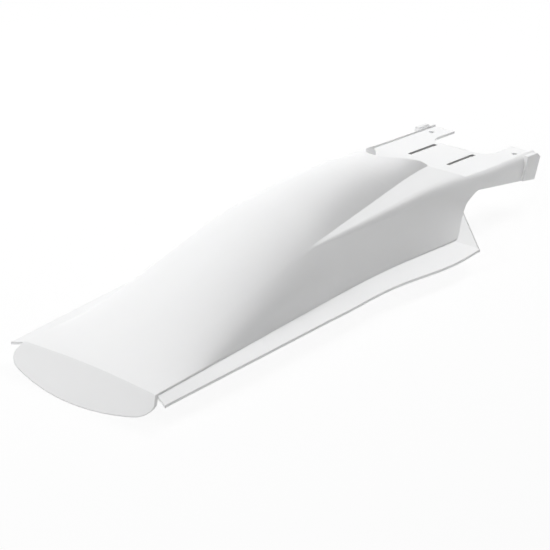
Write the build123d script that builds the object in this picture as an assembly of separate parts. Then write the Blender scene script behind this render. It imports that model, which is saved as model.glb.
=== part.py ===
from build123d import *
import math
import os

# Rear fender of an off-road motorcycle: one moulded shell, open below.
# Millimetres. X runs forward along the machine, Y to its left, Z up.
# Stations along X are counted from the corners of the tail.

# Moulding
wall = 2.6                    # thickness of the shell
foot_height = 24.4            # foot of the side walls above the lowest edge
skirt = 5.0                   # upright edge below the wall foot, which carries the flange

# Tail
tail_half_width = 85.0        # wall foot at the tail
waist_half_width = 83.0       # wall foot further forward, behind the flare
waist_station = 220.0
tail_crown = 3.0              # rise of the top across the tail
tail_bow = 3.0                # how far the middle of the tail stands behind its corners
lip_lean = 47.2               # lean of the tail lip from upright, in degrees
lip_side_reach = 4.8          # lip beyond the wall foot at each side
lip_corner_start = 7.2        # straight part of the lip's side edge
lip_corner_run = 18.2         # length of the rounding of its lower corners
lip_sag = 5.9                 # how much lower the lip hangs in the middle

# Hump, the crowned tail body
peak_station = 360.0          # highest point of the hump
peak_height = 88.0            # that point above the wall foot
crest_station = 441.0         # front edge of the hump on the middle line
hump_kick = 1.6               # 1 climbs straight from the tail, more kicks the tail up
hump_fullness = 0.60          # 0.55 is round, more is squarer
wall_full = 200.0             # station where the sides have grown to upright walls

# Shelf, a wedge let into each side of the hump
shelf_apex = 255.0            # station where the wedge begins
apex_share = 0.48             # where it begins on the section, 0 at the wall foot, 1 on the crest
shelf_full = 496.0            # station where the wedge reaches its full width
valley_half_width = 35.0      # inner line of the wedge there
shelf_slope = 0.27            # rise of the wedge towards the hump
shelf_half_width = 73.0       # outer edge of the shelf, before its rounding
shoulder_height = 52.0        # that edge above the wall foot
shelf_round = 11.0            # rounding of the outer edge

# Side walls
foot_flare = 18.0             # how far the wall foot spreads by the front
flare_start = 280.0
flare_end = 470.0

# Arms
tip_station = 663.0           # front ends of the arms
arm_start = 445.0             # station where the shelf begins to turn into the arms
arm_full = 590.0
arm_half_width = 76.0         # outer face of the arms
arm_round = 14.0              # rounding of their upper edge
arm_drop = 15.0               # how much lower that edge is at the tips
slope_end = 560.0             # station where the shelf's slope has run out

# Lower edge of the walls and arms, seen from the side
front_foot_station = 458.0    # lower front corner of the side wall
neck_station = 514.0          # where the wall's front edge turns into the arm
neck_height = 20.0            # lower edge of the arm there, above the wall foot
neck_radius = 24.0
arm_low_station = 538.0       # where the arm's lower edge begins to fall
arm_low_height = 27.5
tip_low_station = 653.0       # lower corner of the arm's slanting tip
tip_low_height = 6.0
tip_nose_height = 31.0        # foremost point of the tip

# Side flange
flange_reach_tail = 15.0      # flange beyond the wall foot at the tail
flange_reach_middle = 30.0    # the same on the way to the front
flange_middle = 343.0
flange_front_half_width = 129.0
flange_bulge_start = 320.0    # where the flange swings out
flange_bulge_end = 425.0
flange_front_station = 464.0
flange_drop = 4.0             # outer edge of the flange below the wall foot
flange_tail_start = 3.0       # where the flange leaves the wall at the tail
flange_tail_end = -4.0        # its rear corner, beside the tail lip

# Seat deck between the arms
notch_side_station = 496.0    # where the hump's front edge meets the shelf
deck_rear_corner = 522.0      # where that edge meets the arms
deck_half_width = 68.0
deck_depth = 3.0              # deck below the shoulders of the arms
deck_front_station = 612.0    # front edge of the deck between the arms
deck_front_half_width = 40.0
deck_corner_radius = 16.0
slot_length = 53.0
slot_width = 5.0
slot_station = 577.0
slot_half_spacing = 26.5
tip_pad_length = 26.0         # thicker end of each arm
tip_pad_thickness = 3.0

# Bolts through the arms
bolt_station = 641.0
bolt_spacing = 116.0
bolt_hole_radius = 3.3
boss_radius = 10.0
boss_depth = 3.0

margin = 30.0                 # how far cutting bodies run past what they cut
section_count = 28            # sections through the whole length


def ease(value):
    """Smooth step from 0 to 1."""
    t = min(max(value, 0.0), 1.0)
    return t * t * (3.0 - 2.0 * t)


def between(first, second, share):
    """Point or list of points part of the way from the first to the second."""
    if isinstance(first, (int, float)):
        return first + (second - first) * share
    return tuple(between(a, b, share) for a, b in zip(first, second))


def hump_height(station):
    """Top of the hump on the middle line, above the wall foot."""
    along = min(max(station, 0.0), crest_station) / peak_station
    climb = math.sin(math.pi / 2 * along) ** hump_kick
    return tail_crown + (peak_height - tail_crown) * climb


def arm_share(station):
    """0 on the shelf, 1 on the arms."""
    return ease((station - arm_start) / (arm_full - arm_start))


def shelf_edge(station):
    return between(shelf_half_width, arm_half_width, arm_share(station))


def shelf_rounding(station):
    return between(shelf_round, arm_round, arm_share(station))


def shoulder_top(station):
    """Height of the shelf's and the arms' outer edge above the wall foot."""
    along = min(max((station - arm_start) / (tip_station - arm_start), 0.0), 1.0)
    return shoulder_height - arm_drop * along


def waist(station):
    """Half width of the walls at their foot, without the flare."""
    return between(tail_half_width, waist_half_width, ease(station / waist_station))


def front_foot(station):
    """Half width of the walls at their foot, as the front of the body has it."""
    flare = foot_flare * ease((station - flare_start) / (flare_end - flare_start))
    draw_in = ease((station - front_foot_station) / (arm_full - front_foot_station))
    return between(waist_half_width + flare, arm_half_width, draw_in)


def wedge_share(station):
    """0 up to the apex of the wedge, 1 where it is at its full width."""
    return min(max((station - shelf_apex) / (shelf_full - shelf_apex), 0.0), 1.0)


def foot_half_width(station):
    return between(waist(station), front_foot(station), wedge_share(station))


def curve_piece(points, start, end):
    """Control points of the piece of a cubic curve from start to end."""
    def at(*shares):
        row = points
        for share in shares:
            row = [between(a, b, share) for a, b in zip(row, row[1:])]
        return row[0]
    return (at(start, start, start), at(start, start, end), at(start, end, end), at(end, end, end))


def raised(first, control, last):
    """Control points of a cubic curve with the shape of a quadratic one."""
    return (first, between(first, control, 2 / 3), between(last, control, 2 / 3), last)


def tail_half_section(station, inset):
    """Half of the crowned section: wall, outer edge, shelf and hump, all on one smooth curve.
    The tail is a low arch, whose sides grow into upright walls."""
    half = waist(station) - inset
    top = hump_height(station) - inset
    growth = 1.0 - (1.0 - min(max(station / wall_full, 0.0), 1.0)) ** 2
    foot = inset * (growth - 1.0)
    upright = between(2 / 3, 1.0, growth) * half
    level = between(1 / 3, hump_fullness, growth) * half
    crown = ((half, foot), (upright, between(foot, top, hump_fullness)), (level, top), (0.0, top))
    cuts = (0.0, apex_share - 0.03, apex_share - 0.015, apex_share, 1.0)
    return [curve_piece(crown, start, end) for start, end in zip(cuts, cuts[1:])]


def front_half_section(station, inset):
    """The same with a leaning wall, a rounded edge, a sloping shelf and a steep hump side."""
    foot = front_foot(station) - inset
    edge = shelf_edge(station) - inset
    shoulder = shoulder_top(station) - inset
    bend = shelf_rounding(station) - inset
    slope = shelf_slope * (1.0 - ease((station - shelf_full) / (slope_end - shelf_full)))
    inner = valley_half_width - inset
    top = hump_height(station) - inset
    low = (edge, shoulder - bend)
    high = (edge - bend, shoulder + slope * bend)
    valley = (inner, shoulder + slope * (edge - inner))
    wall_curve = raised((foot, 0.0), (edge, low[1] / 2), low)
    edge_curve = raised(low, (edge, shoulder), high)
    shelf_line = (high, between(high, valley, 1 / 3), between(high, valley, 2 / 3), valley)
    steep = (0.88 * inner, between(valley[1], top, 0.6))
    hump_curve = (valley, steep, (0.55 * inner, top), (0.0, top))
    return [wall_curve, edge_curve, shelf_line, hump_curve]


def half_section(station, inset):
    if station <= shelf_apex:
        return tail_half_section(station, inset)
    share = wedge_share(station)
    tail = tail_half_section(shelf_apex, inset)
    front = front_half_section(station, inset)
    pieces = [between(a, b, share) for a, b in zip(tail, front)]
    rise = hump_height(station) - hump_height(shelf_apex)
    valley, steep, level, crest = between(tail[3], front[3], share)
    lift = rise * (1.0 - share)
    pieces[3] = (valley, (steep[0], steep[1] + lift / 2), (level[0], level[1] + lift), (0.0, crest[1] + lift))
    return pieces


def body_section(station, inset):
    """Whole section of the body, drawn in by inset and run down past the wall foot."""
    floor = foot_height - margin
    outline = []
    feet = []
    for side in (1, -1):
        pieces = half_section(station, inset)
        for piece in pieces:
            outline.append(Bezier(*[(station, side * y, foot_height + z) for y, z in piece]))
        foot = (station, side * pieces[0][0][0], foot_height + pieces[0][0][1])
        feet.append((station, foot[1], floor))
        outline.append(Line(feet[-1], foot))
    outline.append(Line(*feet))
    return make_face([edge for curve in outline for edge in curve.edges()])


def body_volume(inset):
    """Room under the shell's outer skin, or under its inner skin for an inset of one wall."""
    first = -2 * margin
    step = (tip_station + margin - first) / section_count
    body = loft([body_section(first + i * step, inset) for i in range(section_count + 1)])
    return body - deck_room(inset)


def deck_floor(station):
    return foot_height + shoulder_top(station) - deck_depth


def deck_room(inset):
    """Room above the sunk seat deck, up to the hump's front edge, grown for the inner skin."""
    start = crest_station - inset
    past = tip_station + 2 * margin
    top = foot_height + peak_height + margin
    half = deck_half_width + inset
    side_station = notch_side_station - inset
    corner_station = deck_rear_corner - inset
    with BuildPart() as room:
        with BuildSketch(Plane.XZ):
            with BuildLine():
                Polyline(
                    (start - margin, deck_floor(start - margin) - inset),
                    (arm_start, deck_floor(arm_start) - inset),
                    (tip_station, deck_floor(tip_station) - inset),
                    (past, deck_floor(tip_station) - inset),
                    (past, top),
                    (start - margin, top),
                    close=True,
                )
            make_face()
        extrude(amount=half, both=True)
    with BuildPart() as plan:
        with BuildSketch(Plane.XY):
            with BuildLine():
                back = start - (side_station - start) / 3
                Bezier(
                    (side_station, -valley_half_width),
                    (back, -0.4 * valley_half_width),
                    (back, 0.4 * valley_half_width),
                    (side_station, valley_half_width),
                )
                Polyline(
                    (side_station, valley_half_width),
                    (corner_station, half),
                    (past, half),
                    (past, -half),
                    (corner_station, -half),
                    (side_station, -valley_half_width),
                )
            make_face()
        extrude(amount=top)
    return room.part & plan.part


def lower_edge_cut():
    """What is cut away below the walls and arms and in front of them, seen from the side."""
    past = tip_station + 2 * margin
    top = foot_height + peak_height + margin
    neck_level = foot_height + neck_height
    with BuildPart() as cut:
        with BuildSketch(Plane.XZ) as profile:
            with BuildLine():
                Polyline(
                    (-3 * margin, -margin),
                    (-3 * margin, foot_height - skirt),
                    (front_foot_station, foot_height - skirt),
                    (neck_station, neck_level),
                    (arm_low_station, foot_height + arm_low_height),
                    (tip_low_station, foot_height + tip_low_height),
                    (tip_station, foot_height + tip_nose_height),
                    (tip_station, top),
                    (past, top),
                    (past, -margin),
                    close=True,
                )
            make_face()
            corners = profile.vertices().filter_by_position(Axis.X, neck_station, arm_low_station)
            fillet(corners, neck_radius)
        extrude(amount=tail_half_width + foot_flare + margin, both=True)
    return cut.part


def flange_edge(station):
    """Half width of the flange at its outer edge."""
    tail_edge = tail_half_width + flange_reach_tail
    middle_edge = waist_half_width + flange_reach_middle
    along = min(max(station / flange_middle, 0.0), 1.0)
    swing = ease((station - flange_bulge_start) / (flange_bulge_end - flange_bulge_start))
    return between(tail_edge, middle_edge, along) + (flange_front_half_width - middle_edge) * swing


def flange_section(share, side):
    """Thin sloping section of the flange outside the wall foot, 0 at the tail and 1 at the front.
    Its rear end slants back along the side of the tail lip."""
    root_station = between(flange_tail_start, flange_front_station, share)
    edge_station = between(flange_tail_end, flange_front_station, share)
    root = foot_half_width(min(root_station, front_foot_station)) - wall / 2
    edge = flange_edge(edge_station)
    root_low = foot_height - skirt + wall / 4
    edge_top = foot_height - flange_drop
    corners = [
        (root_station, side * root, root_low + wall),
        (edge_station, side * edge, edge_top),
        (edge_station, side * edge, edge_top - wall),
        (root_station, side * root, root_low),
    ]
    return make_face(Polyline(*corners, close=True).edges())


def flange(side):
    return loft([flange_section(i / 10, side) for i in range(11)])


def wall_half_width(station, height):
    """Half width of the leaning side wall at a height above its foot."""
    up = height / (shoulder_top(station) - shelf_rounding(station))
    return between(shelf_edge(station), front_foot(station), (1.0 - up) ** 2)


def front_web(side):
    """Thin three-cornered web from the front end of the flange up the wall's front edge."""
    top_station = between(front_foot_station, neck_station, 0.8)
    top_height = neck_height * 0.7
    top = (top_station, wall_half_width(top_station, top_height) - wall / 2, foot_height + top_height)
    low = (front_foot_station, foot_half_width(front_foot_station) - wall / 2, foot_height - skirt + wall / 2)
    tip = (flange_front_station, flange_edge(flange_front_station), foot_height - flange_drop - wall / 2)
    corners = [(x, side * y, z) for x, y, z in (top, low, tip)]
    return extrude(make_face(Polyline(*corners, close=True).edges()), amount=wall, dir=Vector(-1, 0, 0))


def tail_radius():
    """Radius of the bowed tail at the level of the wall foot."""
    return (tail_half_width ** 2 + tail_bow ** 2) / (2 * tail_bow)


def leaning_extrusion(sketch):
    """A body along the lean of the tail lip, through the level of the wall foot."""
    lean = math.radians(lip_lean)
    direction = Vector(math.sin(lean), 0, math.cos(lean))
    return extrude(sketch, amount=foot_height + peak_height, dir=direction, both=True)


def tail_cut():
    """What lies behind the bowed end of the tail."""
    radius = tail_radius()
    level = Plane.XY.offset(foot_height)
    depth = 5 * margin
    behind = level * Pos(margin - depth / 2, 0) * Rectangle(depth, 2 * (tail_half_width + margin))
    inside = level * Pos(radius - tail_bow, 0) * Circle(radius)
    return leaning_extrusion(behind - inside)


def tail_lip():
    """Bowed, leaning plate below the end of the tail, with rounded lower corners."""
    radius = tail_radius()
    level = Plane.XY.offset(foot_height)
    centre = Pos(radius - tail_bow, 0)
    rear_half = Pos(-margin, 0) * Rectangle(4 * margin, 3 * tail_half_width)
    ring = centre * (Circle(radius) - Circle(radius - 1.4 * wall)) & rear_half
    half = tail_half_width + lip_side_reach
    crown = foot_height + tail_crown
    waist_level = foot_height - lip_corner_start
    corner_level = lip_sag * (1.0 + 2.0 * lip_corner_run / (half - lip_corner_run))
    arch_low = (2 / 3 * tail_half_width, foot_height + hump_fullness * tail_crown)
    arch_high = (1 / 3 * tail_half_width, crown)
    with BuildPart() as outline:
        with BuildSketch(Plane.YZ.offset(-5 * margin)):
            with BuildLine():
                for side in (1, -1):
                    foot = (side * tail_half_width, foot_height)
                    side_end = (side * half, waist_level)
                    corner_end = (side * (half - lip_corner_run), lip_sag)
                    Bezier(foot, (side * arch_low[0], arch_low[1]), (side * arch_high[0], crown), (0, crown))
                    Line(foot, side_end)
                    Bezier(side_end, (side * half, corner_level), corner_end)
                    Bezier(corner_end, (corner_end[0] / 2, 0.0), (0, 0))
            make_face()
        extrude(amount=8 * margin)
    return leaning_extrusion(level * ring) & outline.part


def deck_front_cut():
    """Gap between the arms, in front of the deck."""
    length = tip_station + margin - deck_front_station
    with BuildPart() as cut:
        with BuildSketch(Plane.XY) as plan:
            with Locations((deck_front_station + length / 2, 0)):
                Rectangle(length, 2 * deck_front_half_width)
            fillet(plan.vertices().group_by(Axis.X)[0], deck_corner_radius)
        extrude(amount=foot_height + peak_height)
    return cut.part


def deck_holes():
    """Bolt holes at the arm tips and the two long slots in the deck."""
    tall = foot_height + peak_height
    with BuildPart() as holes:
        with BuildSketch(Plane.XY):
            for side in (1, -1):
                with Locations((bolt_station, side * bolt_spacing / 2)):
                    Circle(bolt_hole_radius)
                with Locations((slot_station, side * slot_half_spacing)):
                    SlotOverall(slot_length, slot_width)
        extrude(amount=tall)
    return holes.part


def bolt_bosses():
    """Thicker round seats under the bolt holes."""
    top = deck_floor(bolt_station) - wall / 2
    bosses = Part()
    for side in (1, -1):
        bosses += Pos(bolt_station, side * bolt_spacing / 2, top - (boss_depth + wall) / 2) * Cylinder(
            boss_radius, boss_depth + wall)
    return bosses


def tip_pads():
    """Thicker flat outer faces at the slanting ends of the arms."""
    shoulder = foot_height + shoulder_top(tip_station)
    corners = [
        (tip_station - tip_pad_length, shoulder + wall / 2),
        (tip_station - tip_pad_length / 4, shoulder),
        (tip_station, foot_height + tip_nose_height),
        (tip_low_station, foot_height + tip_low_height),
        (tip_low_station - tip_pad_length, foot_height + tip_low_height + tip_pad_length / 5),
    ]
    face = make_face(Polyline(*[(x, 0, z) for x, z in corners], close=True).edges())
    thickness = tip_pad_thickness + wall
    pads = Part()
    for side in (1, -1):
        inner = arm_half_width - wall
        pad = extrude(face, amount=thickness, dir=Vector(0, side, 0))
        pads += Pos(0, side * inner, 0) * pad
    return pads


def fender():
    shell = body_volume(0.0) - body_volume(wall)
    shell -= lower_edge_cut()
    shell -= tail_cut()
    shell += tail_lip()
    for side in (1, -1):
        shell += flange(side)
        shell += front_web(side)
    shell += bolt_bosses()
    shell += tip_pads()
    shell -= deck_front_cut()
    shell -= deck_holes()
    return shell


os.makedirs("parts", exist_ok=True)
shell = fender()
box = shell.bounding_box()
shell = Pos(-box.center().X, 0, -box.min.Z) * shell
export_step(shell, "parts/fender.step")
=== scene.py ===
import math

import bmesh
import bpy
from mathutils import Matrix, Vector

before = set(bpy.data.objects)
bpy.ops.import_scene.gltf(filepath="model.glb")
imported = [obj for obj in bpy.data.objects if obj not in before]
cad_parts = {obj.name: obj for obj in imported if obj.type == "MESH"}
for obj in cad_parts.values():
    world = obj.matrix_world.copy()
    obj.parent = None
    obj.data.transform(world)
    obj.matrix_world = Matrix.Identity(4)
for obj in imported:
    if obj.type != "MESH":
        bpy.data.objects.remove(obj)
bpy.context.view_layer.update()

# The fender is one injection-moulded shell of white polypropylene, coloured through.
# It comes from a fine-blasted tool, so the skin is an even satin with the faint cloudiness
# of a large thin moulding and a very fine grain that only shows close up.
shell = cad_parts["fender"]
plastic = bpy.data.materials.new("white_moulded_plastic")
plastic.use_nodes = True
nodes = plastic.node_tree.nodes
links = plastic.node_tree.links
skin = nodes["Principled BSDF"]
skin.inputs["IOR"].default_value = 1.49
skin.inputs["Specular IOR Level"].default_value = 0.28
skin.inputs["Subsurface Weight"].default_value = 0.05
skin.inputs["Subsurface Radius"].default_value = (0.004, 0.004, 0.0035)
skin.inputs["Subsurface Scale"].default_value = 1.0
place = nodes.new("ShaderNodeTexCoord")

cloud = nodes.new("ShaderNodeTexNoise")
cloud.inputs["Scale"].default_value = 9.0
cloud.inputs["Detail"].default_value = 3.0
cloud.inputs["Roughness"].default_value = 0.55
links.new(place.outputs["Object"], cloud.inputs["Vector"])
tint = nodes.new("ShaderNodeValToRGB")
tint.color_ramp.elements[0].position = 0.3
tint.color_ramp.elements[0].color = (0.852, 0.855, 0.858, 1.0)
tint.color_ramp.elements[1].position = 0.7
tint.color_ramp.elements[1].color = (0.872, 0.874, 0.876, 1.0)
links.new(cloud.outputs["Fac"], tint.inputs["Fac"])
sheen_spread = nodes.new("ShaderNodeMapRange")
sheen_spread.inputs["From Min"].default_value = 0.3
sheen_spread.inputs["From Max"].default_value = 0.7
sheen_spread.inputs["To Min"].default_value = 0.5
sheen_spread.inputs["To Max"].default_value = 0.6
links.new(cloud.outputs["Fac"], sheen_spread.inputs["Value"])
links.new(sheen_spread.outputs["Result"], skin.inputs["Roughness"])

grain = nodes.new("ShaderNodeTexNoise")
grain.inputs["Scale"].default_value = 1400.0
grain.inputs["Detail"].default_value = 2.0
links.new(place.outputs["Object"], grain.inputs["Vector"])
grain_bump = nodes.new("ShaderNodeBump")
grain_bump.inputs["Strength"].default_value = 0.08
grain_bump.inputs["Distance"].default_value = 0.0002
links.new(grain.outputs["Fac"], grain_bump.inputs["Height"])
links.new(grain_bump.outputs["Normal"], skin.inputs["Normal"])
shell.data.materials.clear()
shell.data.materials.append(plastic)

# The rims of the moulding aren't sharp. Where the two halves of the tool meet, the edge of the
# thin wall is rounded right over, and it shows as a soft line along the lip and the flanges.
wall_thickness = 0.0026
rim = nodes.new("ShaderNodeBevel")
rim.samples = 6
rim.inputs["Radius"].default_value = 0.5 * wall_thickness
links.new(rim.outputs["Normal"], grain_bump.inputs["Normal"])

# Two narrow slots are moulded through the seat deck, for a hook or a strap of the seat.
# Their walls carry painted shade, a darker grey put into the colour, so they look dark
# between the white edges of the deck; the real plastic is white there too.
slot_middle = (0.2602, 0.0265, 0.06)
slot_half_size = (0.0267, 0.0026, 0.02)
painted_slot_shade = (0.33, 0.33, 0.332, 1.0)
spot_axes = nodes.new("ShaderNodeSeparateXYZ")
links.new(place.outputs["Object"], spot_axes.inputs["Vector"])
from_centreline = nodes.new("ShaderNodeMath")
from_centreline.operation = "ABSOLUTE"
links.new(spot_axes.outputs["Y"], from_centreline.inputs[0])
either_side = nodes.new("ShaderNodeCombineXYZ")
links.new(spot_axes.outputs["X"], either_side.inputs["X"])
links.new(from_centreline.outputs["Value"], either_side.inputs["Y"])
links.new(spot_axes.outputs["Z"], either_side.inputs["Z"])
from_slot = nodes.new("ShaderNodeVectorMath")
from_slot.operation = "SUBTRACT"
from_slot.inputs[1].default_value = slot_middle
links.new(either_side.outputs["Vector"], from_slot.inputs[0])
off_slot = nodes.new("ShaderNodeVectorMath")
off_slot.operation = "ABSOLUTE"
links.new(from_slot.outputs["Vector"], off_slot.inputs[0])
slot_share = nodes.new("ShaderNodeVectorMath")
slot_share.operation = "DIVIDE"
slot_share.inputs[1].default_value = slot_half_size
links.new(off_slot.outputs["Vector"], slot_share.inputs[0])
slot_axes = nodes.new("ShaderNodeSeparateXYZ")
links.new(slot_share.outputs["Vector"], slot_axes.inputs["Vector"])
slot_flat = nodes.new("ShaderNodeMath")
slot_flat.operation = "MAXIMUM"
links.new(slot_axes.outputs["X"], slot_flat.inputs[0])
links.new(slot_axes.outputs["Y"], slot_flat.inputs[1])
slot_far = nodes.new("ShaderNodeMath")
slot_far.operation = "MAXIMUM"
links.new(slot_flat.outputs["Value"], slot_far.inputs[0])
links.new(slot_axes.outputs["Z"], slot_far.inputs[1])
painted_shade_mask = nodes.new("ShaderNodeMath")
painted_shade_mask.operation = "LESS_THAN"
painted_shade_mask.inputs[1].default_value = 1.0
links.new(slot_far.outputs["Value"], painted_shade_mask.inputs[0])
# The painted shade takes the place of the plastic's own colour on the slot walls.
shell_colour = nodes.new("ShaderNodeMix")
shell_colour.data_type = "RGBA"
shell_colour.inputs["B"].default_value = painted_slot_shade
links.new(painted_shade_mask.outputs["Value"], shell_colour.inputs["Factor"])
links.new(tint.outputs["Color"], shell_colour.inputs["A"])
links.new(shell_colour.outputs["Result"], skin.inputs["Base Color"])

# The floor is a plain white sheet, wide enough to fill the view from every side.
# It looks like clean paper, with only the soft shadow under the fender left in it.
floor_half_width = 30.0
floor_drop = 0.0005
floor_mesh = bpy.data.meshes.new("floor")
sheet = bmesh.new()
bmesh.ops.create_grid(sheet, x_segments=1, y_segments=1, size=floor_half_width)
sheet.to_mesh(floor_mesh)
sheet.free()
floor = bpy.data.objects.new("floor", floor_mesh)
floor.location = (0.0, 0.0, -floor_drop)
bpy.context.scene.collection.objects.link(floor)


def looked_at(tree):
    path = tree.nodes.new("ShaderNodeLightPath")
    eye_or_sheen = tree.nodes.new("ShaderNodeMath")
    eye_or_sheen.operation = "MAXIMUM"
    tree.links.new(path.outputs["Is Camera Ray"], eye_or_sheen.inputs[0])
    tree.links.new(path.outputs["Is Glossy Ray"], eye_or_sheen.inputs[1])
    or_through = tree.nodes.new("ShaderNodeMath")
    or_through.operation = "MAXIMUM"
    tree.links.new(eye_or_sheen.outputs["Value"], or_through.inputs[0])
    tree.links.new(path.outputs["Is Transmission Ray"], or_through.inputs[1])
    return or_through.outputs["Value"]


white_share = 0.85
paper = bpy.data.materials.new("white_paper")
paper.use_nodes = True
paper_nodes = paper.node_tree.nodes
paper_links = paper.node_tree.links
paper_skin = paper_nodes["Principled BSDF"]
paper_skin.inputs["Base Color"].default_value = (0.95, 0.95, 0.95, 1.0)
paper_skin.inputs["Roughness"].default_value = 1.0
paper_skin.inputs["Specular IOR Level"].default_value = 0.0
paper_white = paper_nodes.new("ShaderNodeEmission")
paper_white.inputs["Color"].default_value = (1.0, 1.0, 1.0, 1.0)
paper_white.inputs["Strength"].default_value = 1.0
paper_share = paper_nodes.new("ShaderNodeMath")
paper_share.operation = "MULTIPLY"
paper_share.inputs[1].default_value = white_share
paper_links.new(looked_at(paper.node_tree), paper_share.inputs[0])
paper_mix = paper_nodes.new("ShaderNodeMixShader")
paper_links.new(paper_share.outputs["Value"], paper_mix.inputs["Fac"])
paper_links.new(paper_skin.outputs["BSDF"], paper_mix.inputs[1])
paper_links.new(paper_white.outputs["Emission"], paper_mix.inputs[2])
paper_links.new(paper_mix.outputs["Shader"], paper_nodes["Material Output"].inputs["Surface"])
floor_mesh.materials.append(paper)

# The surround is an even white studio. It fills the shaded walls with soft light,
# and seen directly or in a sheen it is as white as the paper.
world = bpy.data.worlds.new("studio")
bpy.context.scene.world = world
world.use_nodes = True
world_nodes = world.node_tree.nodes
world_links = world.node_tree.links
surround = world_nodes["Background"]
surround.inputs["Color"].default_value = (1.0, 1.0, 1.0, 1.0)
surround.inputs["Strength"].default_value = 0.28
backdrop = world_nodes.new("ShaderNodeBackground")
backdrop.inputs["Color"].default_value = (1.0, 1.0, 1.0, 1.0)
backdrop.inputs["Strength"].default_value = 1.0
world_mix = world_nodes.new("ShaderNodeMixShader")
world_links.new(looked_at(world.node_tree), world_mix.inputs["Fac"])
world_links.new(surround.outputs["Background"], world_mix.inputs[1])
world_links.new(backdrop.outputs["Background"], world_mix.inputs[2])
world_links.new(world_mix.outputs["Shader"], world_nodes["World Output"].inputs["Surface"])

# Four soft lamps stand round the fender. Those in front, behind and overhead shape the lip and
# the shelf and leave the shadow on the floor. The one on the left shades the right walls, and it
# throws no shadow, so that the hump leaves no dark patch on the shelf and the flange.
fender_middle = Vector((0.0, 0.0, 0.05))


def soft_lamp(name, stand, width, power, shadow):
    data = bpy.data.lights.new(name, "AREA")
    data.shape = "DISK"
    data.size = width
    data.energy = power
    data.use_shadow = shadow
    lamp = bpy.data.objects.new(name, data)
    lamp.location = stand
    lamp.rotation_euler = (fender_middle - Vector(stand)).to_track_quat("-Z", "Y").to_euler()
    bpy.context.scene.collection.objects.link(lamp)


soft_lamp("left", (0.0, 1.3, 1.75), 0.8, 17.5, False)
soft_lamp("front", (1.5, 0.0, 1.6), 1.0, 15.0, True)
soft_lamp("behind", (-2.0, 0.6, 1.0), 0.8, 13.0, True)
soft_lamp("overhead", (0.25, 0.2, 2.1), 1.2, 5.0, True)

# The camera stands behind and to the right of the fender, at the photograph's height and angle.
# Its lens is long, so that the arms in front look little smaller than the tail.
lens_pixels = 1800.0
frame_pixels = 550.0
looks_down = math.radians(24.82)
turned_right = math.radians(50.81)
camera_data = bpy.data.cameras.new("camera")
camera_data.sensor_width = 36.0
camera_data.lens = camera_data.sensor_width * lens_pixels / frame_pixels
camera = bpy.data.objects.new("camera", camera_data)
camera.location = (-1.355825, -1.071, 0.8044)
camera.rotation_euler = (math.radians(90.0) - looks_down, 0.0, -turned_right)
bpy.context.scene.collection.objects.link(camera)
bpy.context.scene.camera = camera
bpy.context.scene.view_settings.view_transform = "Standard"
